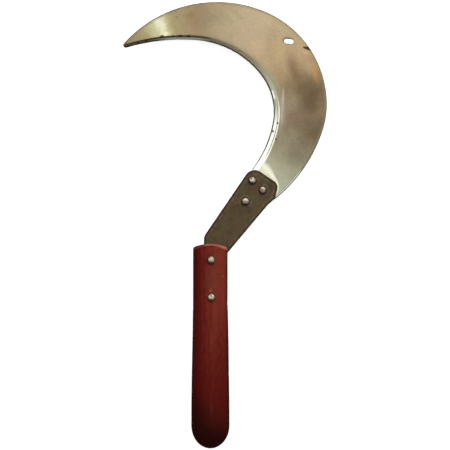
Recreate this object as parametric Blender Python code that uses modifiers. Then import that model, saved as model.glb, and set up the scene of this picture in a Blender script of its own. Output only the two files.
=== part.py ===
"""Hand sickle: a riveted crescent blade on a cranked shank in a turned wooden handle.

The sickle lies flat. +Y runs from the handle's butt towards the blade, +Z is up, out of
the blade's ground face, and the origin is under the middle of the whole tool.
Every part is first laid out from the handle's butt: x = 0 on the handle's axis, y = 0 at
the butt end and z = 0 in the middle of the shank. One empty then carries them all.
Lengths are in metres and angles in degrees.
"""

import math

import bmesh
import bpy
from mathutils import Vector

GAP = 0.0003                       # between faces that bear on each other
WELD_DISTANCE = 0.000002           # points closer than this are one point

# Handle: a turned grip, sawn open at its top end to take the shank's tang
HANDLE_LENGTH = 0.150
HANDLE_TOP_RADIUS = 0.01285
HANDLE_BUTT_RADIUS = 0.0141
HANDLE_BUTT_DEPTH = 0.0169         # length of the rounded butt
HANDLE_CROWN_SLOPE = 20.0          # the shallow crown of the top end slopes off this far ...
HANDLE_LIP_RADIUS = 0.0022         # ... and this radius rounds its rim
SWELL_START = 0.120                # the grip swells from here ...
SWELL_END = 0.020                  # ... down to here
KERF_BOTTOM = 0.100
HANDLE_SIDES = 40

# Shank: a flat plate, cranked to the right between the handle and the blade
SHANK_THICKNESS = 0.003
SHANK_EDGE_ROUNDING = 0.00035
SQUARE_EDGE_ANGLE = 60             # edges that turn more than this are rounded
# Corners as (x, y, corner radius), from the tang's lower left corner clockwise
SHANK_CORNERS = (
    (-0.0044, 0.1020, 0.0025),
    (-0.0048, 0.1553, 0.0080),
    (0.0303, 0.2068, 0.0075),
    (0.0498, 0.1937, 0.0055),
    (0.0473, 0.1830, 0.0015),
    (0.0421, 0.1785, 0.0100),
    (0.0083, 0.1382, 0.0080),
    (0.0072, 0.1020, 0.0025),
)

# Blade: one flat crescent, drawn as a chain of tangent arcs of (radius, turn)
BLADE_THICKNESS = 0.0018
OUTER_START = (0.0474, 0.1826)
OUTER_HEADING = 38.5
OUTER_ARCS = ((0.1066, 33.5), (0.0623, 18.3), (0.0738, 67.6), (0.0921, 70.0))
TIP_ARC = (0.0020, 148.7)
INNER_ARCS = ((0.1417, -20.7), (0.0668, -47.8), (0.0444, -49.9), (0.0827, -24.7))
# The root is hidden under the shank; corners as for the shank
ROOT_CORNERS = (
    (0.0180, 0.1785, 0.0040),
    (0.0235, 0.1705, 0.0040),
    (0.0320, 0.1695, 0.0040),
    (0.0410, 0.1786, 0.0020),
)

# Ground bevel along the blade's inner edge
EDGE_THICKNESS = 0.0003
BEVEL_WIDTH_AT_TIP = 0.0022
BEVEL_WIDTH_AT_ROOT = 0.0050
BEVEL_RUNOUT = 0.008               # the grinding lifts off over this length at the root
CUTTER_MARGIN = 0.0010

# Oblong hanging hole near the blade's outer edge
HOLE_CENTRE = (0.0575, 0.2984)
HOLE_LENGTH = 0.0076
HOLE_WIDTH = 0.0046
HOLE_TILT = -6.0

# Rivets
RIVET_RADIUS = 0.0015
BORE_RADIUS = RIVET_RADIUS + GAP
HEAD_RADIUS = 0.0026
HEAD_HEIGHT = 0.0014
PEEN_RADIUS = 0.0024
PEEN_HEIGHT = 0.0010
BLADE_RIVETS = ((0.0308, 0.1965), (0.0384, 0.1894), (0.0256, 0.1811))
HANDLE_RIVETS = ((0.0007, 0.1384), (0.0007, 0.1112))
RIVET_SIDES = 20
DOME_STEPS = 4

# Seats of the handle rivets: flats sunk into the round grip, as heights from its axis
FRONT_SEAT_HEIGHT = 0.0121
BACK_SEAT_HEIGHT = 0.0114
WASHER_RADIUS = 0.0045
WASHER_THICKNESS = 0.0008

ARC_STEP = 3.0                     # largest turn of one straight stretch in an arc
CORNER_STEP = 12.0                 # the same at a rounded corner
HOLE_SIDES = 24

STEEL_BRIGHT = (0.48, 0.42, 0.31)
STEEL_SCALED = (0.075, 0.055, 0.036)
STEEL_RIVET = (0.50, 0.44, 0.40)
WOOD_STAINED = (0.13, 0.020, 0.013)


# ---------------------------------------------------------------- scene and materials

def clear_scene():
    for thing in list(bpy.data.objects):
        bpy.data.objects.remove(thing, do_unlink=True)


def make_collection(name):
    collection = bpy.data.collections.new(name)
    bpy.context.scene.collection.children.link(collection)
    return collection


def make_material(name, colour, roughness, metallic):
    material = bpy.data.materials.new(name)
    material.use_nodes = True
    shader = material.node_tree.nodes["Principled BSDF"]
    shader.inputs["Base Color"].default_value = (*colour, 1.0)
    shader.inputs["Roughness"].default_value = roughness
    shader.inputs["Metallic"].default_value = metallic
    material.diffuse_color = (*colour, 1.0)
    return material


def bright_steel():
    return make_material("bright_steel", STEEL_BRIGHT, 0.32, 1.0)


def scaled_steel():
    return make_material("scaled_steel", STEEL_SCALED, 0.62, 0.8)


def rivet_steel():
    return make_material("rivet_steel", STEEL_RIVET, 0.38, 1.0)


def stained_wood():
    return make_material("stained_wood", WOOD_STAINED, 0.5, 0.0)


# ---------------------------------------------------------------- plane outlines

def walk_arcs(start, heading, arcs):
    """Points along tangent arcs of (radius, turn), and the heading at their end."""
    x, y = start
    points = [(x, y)]
    for radius, turn in arcs:
        count = max(2, math.ceil(abs(turn) / ARC_STEP))
        step = turn / count
        chord = 2 * radius * math.sin(math.radians(abs(step)) / 2)
        for _ in range(count):
            direction = math.radians(heading + step / 2)
            x += chord * math.cos(direction)
            y += chord * math.sin(direction)
            heading += step
            points.append((x, y))
    return points, heading


def round_corner(before, corner, after, radius):
    """Points of the arc that rounds one corner between its two neighbours."""
    corner = Vector(corner)
    to_before = (Vector(before) - corner).normalized()
    to_after = (Vector(after) - corner).normalized()
    opening = to_before.angle(to_after)
    first = corner + to_before * (radius / math.tan(opening / 2))
    turn = math.degrees(math.pi - opening)
    if to_before.cross(to_after) > 0:
        turn = -turn
    heading = math.degrees(math.atan2(-to_before.y, -to_before.x))
    count = max(2, math.ceil(abs(turn) / CORNER_STEP))
    points = [tuple(first)]
    x, y = first
    chord = 2 * radius * math.sin(math.radians(abs(turn) / count) / 2)
    for step in range(count):
        direction = math.radians(heading + turn * (step + 0.5) / count)
        x += chord * math.cos(direction)
        y += chord * math.sin(direction)
        points.append((x, y))
    return points


def round_corners(corners, before, after):
    """Rounds a run of (x, y, radius) corners that goes on from before to after."""
    plain = [before] + [corner[:2] for corner in corners] + [after]
    points = []
    for number, (_, _, radius) in enumerate(corners):
        points += round_corner(*plain[number:number + 3], radius)
    return points


def circle_points(centre, radius):
    x, y = centre
    angles = [math.tau * number / HOLE_SIDES for number in range(HOLE_SIDES)]
    return [(x + radius * math.cos(a), y + radius * math.sin(a)) for a in angles]


def oblong_points(centre, length, width, tilt):
    """A slot with round ends, its long way turned by tilt."""
    x, y = centre
    radius = width / 2
    turned = math.radians(tilt)
    points = []
    for side in (1, -1):
        shift = side * (length - width) / 2
        for number in range(HOLE_SIDES // 2 + 1):
            angle = math.tau * number / HOLE_SIDES - side * math.pi / 2
            across = shift + radius * math.cos(angle)
            along = radius * math.sin(angle)
            points.append((x + across * math.cos(turned) - along * math.sin(turned),
                           y + across * math.sin(turned) + along * math.cos(turned)))
    return points


def blade_edges():
    """The blade's outer edge with its tip, and its inner edge from the tip to the root."""
    outer, heading = walk_arcs(OUTER_START, OUTER_HEADING, OUTER_ARCS)
    tip, heading = walk_arcs(outer[-1], heading, (TIP_ARC,))
    inner, _ = walk_arcs(tip[-1], heading, INNER_ARCS)
    return outer + tip[1:], inner


def blade_outline():
    outer, inner = blade_edges()
    root = round_corners(ROOT_CORNERS, inner[-1], outer[0])
    return outer + inner[1:] + root


def shank_outline():
    return round_corners(SHANK_CORNERS, SHANK_CORNERS[-1][:2], SHANK_CORNERS[0][:2])


# ---------------------------------------------------------------- solids

def finish_object(thing, material, collection, carrier):
    thing.data.materials.clear()
    thing.data.materials.append(material)
    if thing.name not in collection.objects:
        collection.objects.link(thing)
    thing.parent = carrier


def plate_object(name, outlines, thickness, middle):
    """A flat plate from its outline and holes, parallel to the XY plane."""
    curve = bpy.data.curves.new(name + "_outline", "CURVE")
    curve.dimensions = "2D"
    curve.fill_mode = "BOTH"
    curve.extrude = thickness / 2
    for outline in outlines:
        spline = curve.splines.new("POLY")
        spline.points.add(len(outline) - 1)
        for point, (x, y) in zip(spline.points, outline):
            point.co = (x, y, 0.0, 1.0)
        spline.use_cyclic_u = True
    drawn = bpy.data.objects.new(name + "_outline", curve)
    bpy.context.scene.collection.objects.link(drawn)
    bpy.context.view_layer.update()
    evaluated = drawn.evaluated_get(bpy.context.evaluated_depsgraph_get())
    mesh = bpy.data.meshes.new_from_object(evaluated)
    shape = bmesh.new()
    shape.from_mesh(mesh)
    bmesh.ops.remove_doubles(shape, verts=shape.verts, dist=WELD_DISTANCE)
    bmesh.ops.recalc_face_normals(shape, faces=shape.faces)
    shape.to_mesh(mesh)
    shape.free()
    mesh.shade_flat()
    bpy.data.objects.remove(drawn, do_unlink=True)
    mesh.name = name
    plate = bpy.data.objects.new(name, mesh)
    plate.location = (0.0, 0.0, middle)
    return plate


def turned_object(name, profile, sides):
    """A solid of revolution about its own Z from (radius, height), top to bottom."""
    mesh = bpy.data.meshes.new(name)
    rim = [(radius, 0.0, height) for radius, height in profile]
    mesh.from_pydata(rim, [(n, n + 1) for n in range(len(rim) - 1)], [])
    thing = bpy.data.objects.new(name, mesh)
    screw = thing.modifiers.new("turn", "SCREW")
    screw.axis = "Z"
    screw.steps = sides
    screw.render_steps = sides
    screw.use_merge_vertices = True
    screw.merge_threshold = WELD_DISTANCE
    screw.use_smooth_shade = True
    return thing


def cut(target, cutter, cutters, carrier):
    cutter.display_type = "WIRE"
    cutter.hide_render = True
    if cutter.name not in cutters.objects:
        cutters.objects.link(cutter)
    cutter.parent = carrier
    boolean = target.modifiers.new(cutter.name, "BOOLEAN")
    boolean.operation = "DIFFERENCE"
    boolean.solver = "EXACT"
    boolean.object = cutter


def upright_cylinder(name, centre, radius, low, high):
    """A closed cylinder along Z between two heights."""
    mesh = bpy.data.meshes.new(name)
    shape = bmesh.new()
    bmesh.ops.create_cone(shape, cap_ends=True, segments=HOLE_SIDES,
                          radius1=radius, radius2=radius, depth=high - low)
    shape.to_mesh(mesh)
    shape.free()
    cylinder = bpy.data.objects.new(name, mesh)
    cylinder.location = (*centre, (low + high) / 2)
    return cylinder


def block(name, low, high):
    """A closed box between two corners."""
    mesh = bpy.data.meshes.new(name)
    shape = bmesh.new()
    bmesh.ops.create_cube(shape, size=1.0)
    size = Vector(high) - Vector(low)
    bmesh.ops.scale(shape, vec=size, verts=shape.verts)
    shape.to_mesh(mesh)
    shape.free()
    box = bpy.data.objects.new(name, mesh)
    box.location = (Vector(low) + Vector(high)) / 2
    return box


# ---------------------------------------------------------------- blade

def blade_top():
    return -SHANK_THICKNESS / 2 - GAP


def bevel_sections(inner):
    """Triangular sections of the grinding wedge, from before the tip to the root."""
    top = blade_top()
    depth = BLADE_THICKNESS - EDGE_THICKNESS
    beyond_tip = 0.006
    ahead = (Vector(inner[1]) - Vector(inner[0])).normalized()
    path = [Vector(inner[0]) - ahead * beyond_tip] + [Vector(point) for point in inner]
    left = sum((b - a).length for a, b in zip(path, path[1:]))
    whole = left
    sections = []
    for number, point in enumerate(path):
        before = path[max(number - 1, 0)]
        after = path[min(number + 1, len(path) - 1)]
        along = (after - before).normalized()
        into_steel = Vector((-along.y, along.x))
        share = 1 - left / whole
        width = BEVEL_WIDTH_AT_TIP + (BEVEL_WIDTH_AT_ROOT - BEVEL_WIDTH_AT_TIP) * share
        slope = depth / width
        lift = depth * max(0.0, 1 - left / BEVEL_RUNOUT)
        outside = point - into_steel * CUTTER_MARGIN
        inside = point + into_steel * (width + CUTTER_MARGIN)
        high = top + CUTTER_MARGIN * slope + lift
        low = top - depth - CUTTER_MARGIN * slope + lift
        sections.append(((*outside, low), (*inside, high), (*outside, high)))
        left -= (after - point).length
    return sections


def grinding_wedge(inner):
    """The cutter that grinds the bevel: a loft through its triangular sections."""
    shape = bmesh.new()
    rings = [[shape.verts.new(corner) for corner in section]
             for section in bevel_sections(inner)]
    for one, two in zip(rings, rings[1:]):
        for side in range(3):
            other = (side + 1) % 3
            shape.faces.new((one[side], one[other], two[other], two[side]))
    shape.faces.new(rings[0])
    shape.faces.new(rings[-1])
    bmesh.ops.recalc_face_normals(shape, faces=shape.faces)
    mesh = bpy.data.meshes.new("grinding_wedge")
    shape.to_mesh(mesh)
    shape.free()
    return bpy.data.objects.new("grinding_wedge", mesh)


def make_blade(parts, cutters, carrier):
    outlines = [blade_outline()]
    outlines.append(oblong_points(HOLE_CENTRE, HOLE_LENGTH, HOLE_WIDTH, HOLE_TILT))
    outlines += [circle_points(place, BORE_RADIUS) for place in BLADE_RIVETS]
    middle = blade_top() - BLADE_THICKNESS / 2
    blade = plate_object("blade", outlines, BLADE_THICKNESS, middle)
    finish_object(blade, bright_steel(), parts, carrier)
    cut(blade, grinding_wedge(blade_edges()[1]), cutters, carrier)


# ---------------------------------------------------------------- shank

def make_shank(parts, carrier):
    outlines = [shank_outline()]
    outlines += [circle_points(place, BORE_RADIUS) for place in BLADE_RIVETS + HANDLE_RIVETS]
    shank = plate_object("shank", outlines, SHANK_THICKNESS, 0.0)
    rounding = shank.modifiers.new("edge_rounding", "BEVEL")
    rounding.width = SHANK_EDGE_ROUNDING
    rounding.segments = 1
    rounding.limit_method = "ANGLE"
    rounding.angle_limit = math.radians(SQUARE_EDGE_ANGLE)
    finish_object(shank, scaled_steel(), parts, carrier)


# ---------------------------------------------------------------- handle

def grip_radius(height):
    """Radius of the plain grip at a height above the butt end."""
    share = (SWELL_START - height) / (SWELL_START - SWELL_END)
    share = min(max(share, 0.0), 1.0)
    eased = share * share * (3 - 2 * share)
    return HANDLE_TOP_RADIUS + (HANDLE_BUTT_RADIUS - HANDLE_TOP_RADIUS) * eased


def handle_top():
    """(radius, height) of the crowned top end, from its middle to where the grip starts."""
    crown_steps = 4
    lip_steps = 6
    slope = math.radians(HANDLE_CROWN_SLOPE)
    lip = HANDLE_LIP_RADIUS
    crown = (HANDLE_TOP_RADIUS - lip * (1 - math.sin(slope))) / math.sin(slope)
    shoulder = HANDLE_LENGTH - crown * (1 - math.cos(slope)) - lip * math.cos(slope)
    profile = []
    for number in range(crown_steps):
        angle = slope * number / crown_steps
        profile.append((crown * math.sin(angle), HANDLE_LENGTH - crown * (1 - math.cos(angle))))
    for number in range(lip_steps + 1):
        angle = slope + (math.pi / 2 - slope) * number / lip_steps
        profile.append((HANDLE_TOP_RADIUS - lip * (1 - math.sin(angle)),
                        shoulder + lip * math.cos(angle)))
    return profile


def handle_profile():
    """(radius, height) from the middle of the crowned top end down to the butt."""
    grip_steps = 9
    butt_steps = 8
    profile = handle_top()
    shoulder = profile[-1][1]
    for number in range(1, grip_steps + 1):
        height = shoulder + (HANDLE_BUTT_DEPTH - shoulder) * number / grip_steps
        profile.append((grip_radius(height), height))
    for number in range(1, butt_steps + 1):
        angle = math.pi / 2 * number / butt_steps
        profile.append((HANDLE_BUTT_RADIUS * math.cos(angle),
                        HANDLE_BUTT_DEPTH * (1 - math.sin(angle))))
    return profile


def make_handle(parts, cutters, carrier):
    handle = turned_object("handle", handle_profile(), HANDLE_SIDES)
    handle.rotation_euler = (math.radians(-90), 0.0, 0.0)
    finish_object(handle, stained_wood(), parts, carrier)
    reach = 2 * HANDLE_BUTT_RADIUS
    kerf_half = SHANK_THICKNESS / 2 + GAP
    kerf = block("kerf", (-reach, KERF_BOTTOM, -kerf_half), (reach, HANDLE_LENGTH + reach, kerf_half))
    cut(handle, kerf, cutters, carrier)
    for number, place in enumerate(HANDLE_RIVETS, 1):
        tools = (
            ("bore", BORE_RADIUS, -reach, reach),
            ("front_seat", HEAD_RADIUS + GAP, FRONT_SEAT_HEIGHT, reach),
            ("back_seat", WASHER_RADIUS + GAP, -reach, -BACK_SEAT_HEIGHT),
        )
        for name, radius, low, high in tools:
            cutter = upright_cylinder(f"{name}_{number}", place, radius, low, high)
            cut(handle, cutter, cutters, carrier)


# ---------------------------------------------------------------- rivets and washers

def dome(radius, height):
    """(radius, height above its base) of a low domed head, from its middle to its rim."""
    steps = range(DOME_STEPS + 1)
    angles = [math.pi / 2 * number / DOME_STEPS for number in steps]
    return [(radius * math.sin(a), height * math.cos(a)) for a in angles]


def rivet_profile(front, back):
    """A rivet whose head bears on the height front and whose peened end bears on back."""
    profile = [(radius, front + height) for radius, height in dome(HEAD_RADIUS, HEAD_HEIGHT)]
    profile += [(RIVET_RADIUS, front), (RIVET_RADIUS, back)]
    peened = reversed(dome(PEEN_RADIUS, PEEN_HEIGHT))
    profile += [(radius, back - height) for radius, height in peened]
    return profile


def make_rivet(name, place, front, back, material, parts, carrier):
    rivet = turned_object(name, rivet_profile(front, back), RIVET_SIDES)
    rivet.location = (*place, 0.0)
    finish_object(rivet, material, parts, carrier)


def make_washer(name, place, material, parts, carrier):
    """A burr washer between the handle's back and a rivet's peened end."""
    top = -BACK_SEAT_HEIGHT - GAP
    outlines = [circle_points(place, WASHER_RADIUS), circle_points(place, BORE_RADIUS)]
    washer = plate_object(name, outlines, WASHER_THICKNESS, top - WASHER_THICKNESS / 2)
    finish_object(washer, material, parts, carrier)


def make_rivets(parts, carrier):
    material = rivet_steel()
    blade_bottom = blade_top() - BLADE_THICKNESS
    for number, place in enumerate(BLADE_RIVETS, 1):
        make_rivet(f"blade_rivet_{number}", place, SHANK_THICKNESS / 2 + GAP,
                   blade_bottom - GAP, material, parts, carrier)
    washer_bottom = -BACK_SEAT_HEIGHT - GAP - WASHER_THICKNESS
    for number, place in enumerate(HANDLE_RIVETS, 1):
        make_rivet(f"handle_rivet_{number}", place, FRONT_SEAT_HEIGHT + GAP,
                   washer_bottom - GAP, material, parts, carrier)
        make_washer(f"handle_washer_{number}", place, material, parts, carrier)


# ---------------------------------------------------------------- the whole tool

def make_carrier(collection):
    """The empty that puts the origin on the ground under the middle of the tool."""
    outer, inner = blade_edges()
    edge = outer + inner
    left = min(x for x, _ in edge)
    right = max(x for x, _ in edge)
    far = max(y for _, y in edge)
    carrier = bpy.data.objects.new("sickle_carrier", None)
    carrier.location = (-(left + right) / 2, -far / 2, HANDLE_BUTT_RADIUS)
    collection.objects.link(carrier)
    return carrier


def main():
    clear_scene()
    parts = make_collection("hand_sickle")
    cutters = make_collection("cutters")
    carrier = make_carrier(parts)
    make_blade(parts, cutters, carrier)
    make_shank(parts, carrier)
    make_handle(parts, cutters, carrier)
    make_rivets(parts, carrier)


main()
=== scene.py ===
from bisect import bisect_right
from itertools import accumulate
from math import atan2, ceil, cos, degrees, dist, pi, radians, sin, tan, tau

import bmesh
import bpy
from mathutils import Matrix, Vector, noise
from mathutils.kdtree import KDTree


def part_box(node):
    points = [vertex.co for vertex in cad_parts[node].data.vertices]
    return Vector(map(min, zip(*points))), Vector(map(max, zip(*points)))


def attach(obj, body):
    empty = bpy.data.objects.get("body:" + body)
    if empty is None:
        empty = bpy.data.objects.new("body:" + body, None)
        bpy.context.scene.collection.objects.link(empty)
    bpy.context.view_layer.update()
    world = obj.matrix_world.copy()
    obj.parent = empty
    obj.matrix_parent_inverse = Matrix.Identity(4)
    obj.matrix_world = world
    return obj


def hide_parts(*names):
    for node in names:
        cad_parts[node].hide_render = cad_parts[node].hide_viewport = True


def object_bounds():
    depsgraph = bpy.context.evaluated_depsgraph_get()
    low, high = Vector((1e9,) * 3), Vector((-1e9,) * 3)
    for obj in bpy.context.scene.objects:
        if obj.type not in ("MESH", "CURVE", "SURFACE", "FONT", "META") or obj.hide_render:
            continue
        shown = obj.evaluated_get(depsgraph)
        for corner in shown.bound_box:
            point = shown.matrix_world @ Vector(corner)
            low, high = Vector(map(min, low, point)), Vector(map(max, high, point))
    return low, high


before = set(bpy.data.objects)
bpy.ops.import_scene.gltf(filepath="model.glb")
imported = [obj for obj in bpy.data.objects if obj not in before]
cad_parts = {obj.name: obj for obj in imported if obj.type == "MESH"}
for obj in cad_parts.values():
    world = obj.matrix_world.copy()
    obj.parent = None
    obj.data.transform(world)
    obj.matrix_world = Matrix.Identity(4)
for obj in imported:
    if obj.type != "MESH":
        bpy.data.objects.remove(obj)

# The looks of a hand sickle that lies flat, ground face up. Lengths are in metres, angles
# in degrees and colours in screen values from 0 to 255. Plane outlines are drawn from the
# handle's butt end, as the solids are: x = 0 on the handle's axis and y = 0 at the butt.
# They are placed by the frame's boxes.

cad_low, cad_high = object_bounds()
BODY = "root"
MM = 0.001

handle_low, handle_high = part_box("handle")
blade_low, blade_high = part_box("blade")
shank_low, shank_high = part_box("shank")
AXIS = Vector(((handle_low.x + handle_high.x) / 2, handle_low.y, (handle_low.z + handle_high.z) / 2))

# Outlines, as tangent arcs of (radius, turn) and corners of (x, y, radius)
OUTER_START = (0.0474, 0.1826)
OUTER_HEADING = 38.5
OUTER_ARCS = ((0.1066, 33.5), (0.0623, 18.3), (0.0738, 67.6), (0.0921, 70))
HALF_TIP = (0.002, 74.35)
INNER_ARCS = ((0.1417, -20.7), (0.0668, -47.8), (0.0444, -49.9), (0.0827, -24.7))
ROOT_LEFT = ((0.018, 0.1785, 0.004), (0.0235, 0.1705, 0.004))
ROOT_RIGHT = ((0.041, 0.1786, 0.002), (0.032, 0.1695, 0.004))
SHANK_CORNERS = (
    (-0.0044, 0.102, 0.0025), (-0.0048, 0.1553, 0.008), (0.0303, 0.2068, 0.0075),
    (0.0498, 0.1937, 0.0055), (0.0473, 0.183, 0.0015), (0.0421, 0.1785, 0.01),
    (0.0083, 0.1382, 0.008), (0.0072, 0.102, 0.0025),
)

# Blade: its sheet, and a ground bevel of a steep honed edge and two facets
THICKNESS = blade_high.z - blade_low.z
EDGE_THICKNESS = 0.00012
BEVEL_AT_TIP = 0.0025
BEVEL_AT_ROOT = 0.005
HONED_WIDTH = 0.0007
HONED_RISE = 0.3
FIRST_FACET_SHARE = 0.62
FIRST_FACET_RISE = 0.78
BEVEL_RUNOUT = 0.008
EDGE_CHAMFER = 0.00008
CREASE = 0.00006                   # half width of the rounding between facets
RIM = 0.00055
UNDER_RIM = 0.0002
OUTLINE_INSET = 0.00005            # keeps the fine arcs inside the solids' coarser ones
BLADE_STATIONS = 340
ROOT_STATIONS = 26
FIRST_STATION = 0.0006             # share of the edge, just past the tip's middle
FACE_COLUMNS = 36
BACK_COLUMNS = 24
ROUND_STEPS = 5
CALM_MIDDLE = (0.034, 0.19)       # the sheet stays flat here, under the shank's head
CALM_RADIUS = 0.022
CALM_FADE = 0.03

# Hanging hole, and the nick as (middle, half width, share of its depth) from its point out
HOLE_CENTRE = (0.0575, 0.2984)
HOLE_LENGTH = 0.0073
HOLE_WIDTH = 0.0037
HOLE_TILT = -6
HOLE_FLARE = 0.00018
NICK_DEPTH = 0.001
NICK_ACROSS = Vector((0.25, 1)).normalized()
NICK_SECTIONS = (((0.0678, 0.2943), 0.0003, 0.35), ((0.069, 0.2939), 0.0009, 0.85),
                 ((0.0716, 0.2932), 0.0012, 1), ((0.075, 0.2922), 0.0012, 1))

# Shank
SHANK_HALF = (shank_high.z - shank_low.z) / 2
SHANK_ROUNDING = 0.0005
SHANK_VOXEL = 0.00042
SHANK_INSET = 0.00006              # leaves room for the dents under the solid's flats
BORE_RADIUS = 0.0018

# Handle
HANDLE_LENGTH = 0.15
CROWN_SLOPE = 20
LIP_RADIUS = 0.0022
CROWN_FALL = 0.004                # how far the pale crown's edge falls at its sides
BUTT_DEPTH = 0.0169
TOP_RADIUS = 0.01285
BUTT_RADIUS = handle_high.x - AXIS.x
SWELL_START = 0.12
SWELL_END = 0.02
HANDLE_SIDES = 128
CROWN_STEPS = 22
LIP_STEPS = 12
GRIP_STEPS = 150
BUTT_STEPS = 36
GRAIN_RADIUS = 0.013               # the noise on the turned wood is taken at this radius
TURNED_INSET = 0.00008
KERF_BOTTOM = 0.1014
KERF_GAP = 0.0003
# Flat seats of the heads and washers: name, radius, height above the axis and side
SEATS = (("front", 0.0028, 0.0121, 1), ("back", 0.0047, 0.0114, -1))

# Rivets: middles, (radius, height) of both heads, how deep they are sunk in the blade and
# the shank, and how far inside their boxes the handle rivets' heads begin
BLADE_RIVETS = ((0.0308, 0.1965), (0.0384, 0.1894), (0.0256, 0.1811))
HANDLE_RIVETS = ((0.0007, 0.1384), (0.0007, 0.1112))
HEAD = (0.0026, 0.0015)
PEEN = (0.0024, 0.0010)
RIVET_SHANK_RADIUS = 0.0015
RIVET_SIDES = 48
HEAD_STEPS = 12
HEAD_SUNK = 0.00002
HEAD_DROP = 0.00165
PEEN_DROP = 0.00125
SKIRT_GROWTH = 0.55                # painted shade on a head grows outwards and leans to the butt
SKIRT_LEAN = Vector((-0.14, -0.45))

# Washers
WASHER_BORE = 0.0017
WASHER_RIM = 0.00015
WASHER_SIDES = 64


# ---- small helpers

def ease(value):
    """0 below 0, 1 above 1 and a smooth rise between."""
    value = min(max(value, 0), 1)
    return value * value * (3 - 2 * value)


def ripple(point, size, seed):
    """Smooth noise between about -1 and 1, whose features are size across."""
    return noise.noise(Vector(point) / size + Vector((seed, 1.7 * seed, 0.3 * seed)))


def place(x, y, z):
    """A point of the plane outlines, at a world height z."""
    return Vector((AXIS.x + x, AXIS.y + y, z))


def add_object(name, data):
    thing = bpy.data.objects.new(name, data)
    bpy.context.scene.collection.objects.link(thing)
    return thing


def evaluated_mesh(thing):
    """A new mesh of what the object's curve or modifiers make."""
    bpy.context.view_layer.update()
    graph = bpy.context.evaluated_depsgraph_get()
    return bpy.data.meshes.new_from_object(thing.evaluated_get(graph))


def piece_from(name, shape, *materials):
    """Makes the bmesh into an object with these materials."""
    mesh = bpy.data.meshes.new(name)
    bmesh.ops.recalc_face_normals(shape, faces=shape.faces)
    shape.to_mesh(mesh)
    shape.free()
    for material in materials:
        mesh.materials.append(material)
    return add_object(name, mesh)


def bake_modifiers(thing):
    """Replaces the object's mesh with what its modifiers make, and drops them."""
    mesh = evaluated_mesh(thing)
    thing.modifiers.clear()
    thing.data = mesh


def write_attribute(mesh, name, values):
    mesh.attributes.new(name, "FLOAT", "POINT").data.foreach_set("value", values)


def cut_away(thing, cutter):
    """Cuts a closed object out of another, keeping the cutter's material on the cut."""
    boolean = thing.modifiers.new("cut", "BOOLEAN")
    boolean.operation = "DIFFERENCE"
    boolean.solver = "EXACT"
    boolean.material_mode = "TRANSFER"
    boolean.object = cutter
    bake_modifiers(thing)
    bpy.data.objects.remove(cutter, do_unlink=True)


def finish_piece(thing, node, sharp):
    """Shades a piece smooth up to an angle, and puts it in its node's place."""
    thing.data.shade_smooth()
    thing.data.set_sharp_from_angle(angle=radians(sharp))
    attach(thing, BODY)
    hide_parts(node)


def skin_rings(rings, slot_of=None, looped=False):
    """A skin over closed rings of points, its ends closed or, if looped, joined."""
    shape = bmesh.new()
    made = [[shape.verts.new(point) for point in ring] for ring in rings]
    for one, two in zip(made, made[1:] + (made[:1] if looped else [])):
        count = len(one)
        for side in range(count):
            other = (side + 1) % count
            face = shape.faces.new((one[side], one[other], two[other], two[side]))
            if slot_of:
                face.material_index = slot_of[side]
    if not looped:
        shape.faces.new(made[0])
        shape.faces.new(made[-1])
    return shape


# ---- plane outlines

def even(start, end, count):
    """Evenly spaced values from start up to, but without, end."""
    return [start + (end - start) * number / count for number in range(count)]


def walk_arcs(start, heading, arcs, widest_step=0.6):
    """Points along tangent arcs of (radius, turn), and the heading at their end."""
    x, y = start
    points = [(x, y)]
    for radius, turn in arcs:
        count = max(2, ceil(abs(turn) / widest_step))
        step = turn / count
        chord = 2 * radius * sin(radians(abs(step)) / 2)
        for _ in range(count):
            direction = radians(heading + step / 2)
            x += chord * cos(direction)
            y += chord * sin(direction)
            heading += step
            points.append((x, y))
    return points, heading


def round_corners(corners, before, after):
    """Points of a line whose corners of (x, y, radius) are rounded by arcs."""
    plain = [Vector(spot[:2]) for spot in (before, *corners, after)]
    points = []
    for last, corner, following, (_, _, radius) in zip(plain, plain[1:], plain[2:], corners):
        back, ahead = (last - corner).normalized(), (following - corner).normalized()
        opening = back.angle(ahead)
        first = corner + back * (radius / tan(opening / 2))
        turn = degrees(pi - opening) * (-1 if back.cross(ahead) > 0 else 1)
        heading = degrees(atan2(-back.y, -back.x))
        points += walk_arcs(tuple(first), heading, ((radius, turn),), 6)[0]
    return points


def shank_outline():
    return round_corners(SHANK_CORNERS, SHANK_CORNERS[-1], SHANK_CORNERS[0])


def lengths_along(points):
    return list(accumulate(map(dist, points, points[1:]), initial=0))


def point_at(points, lengths, share):
    """The point at a share of a line's length."""
    target = share * lengths[-1]
    low = min(max(bisect_right(lengths, target) - 1, 0), len(lengths) - 2)
    span = lengths[low + 1] - lengths[low]
    part = (target - lengths[low]) / span if span else 0
    return Vector(points[low]).lerp(Vector(points[low + 1]), part)


def dense_line(points, spacing):
    """Points of a line at small even steps, with the length along it at each."""
    lengths = lengths_along(points)
    count = ceil(lengths[-1] / spacing)
    return [(point_at(points, lengths, number / count), lengths[-1] * number / count)
            for number in range(count + 1)]


def search_tree(points):
    """A tree that finds the nearest of some points of the plane."""
    tree = KDTree(len(points))
    for number, point in enumerate(points):
        tree.insert((*point, 0), number)
    tree.balance()
    return tree


def circle_points(centre, radius, sides=40):
    return [(centre[0] + radius * cos(angle), centre[1] + radius * sin(angle))
            for angle in even(0, tau, sides)]


def oblong_points(centre, length, width, tilt, sides=48):
    """A slot with round ends, its long way turned by tilt."""
    radius, turned = width / 2, radians(tilt)
    points = []
    for side in (1, -1):
        for angle in even(-pi / 2, pi / 2, sides // 2) + [pi / 2]:
            across = side * ((length - width) / 2 + radius * cos(angle))
            along = side * radius * sin(angle)
            points.append((centre[0] + across * cos(turned) - along * sin(turned),
                           centre[1] + across * sin(turned) + along * cos(turned)))
    return points


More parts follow.
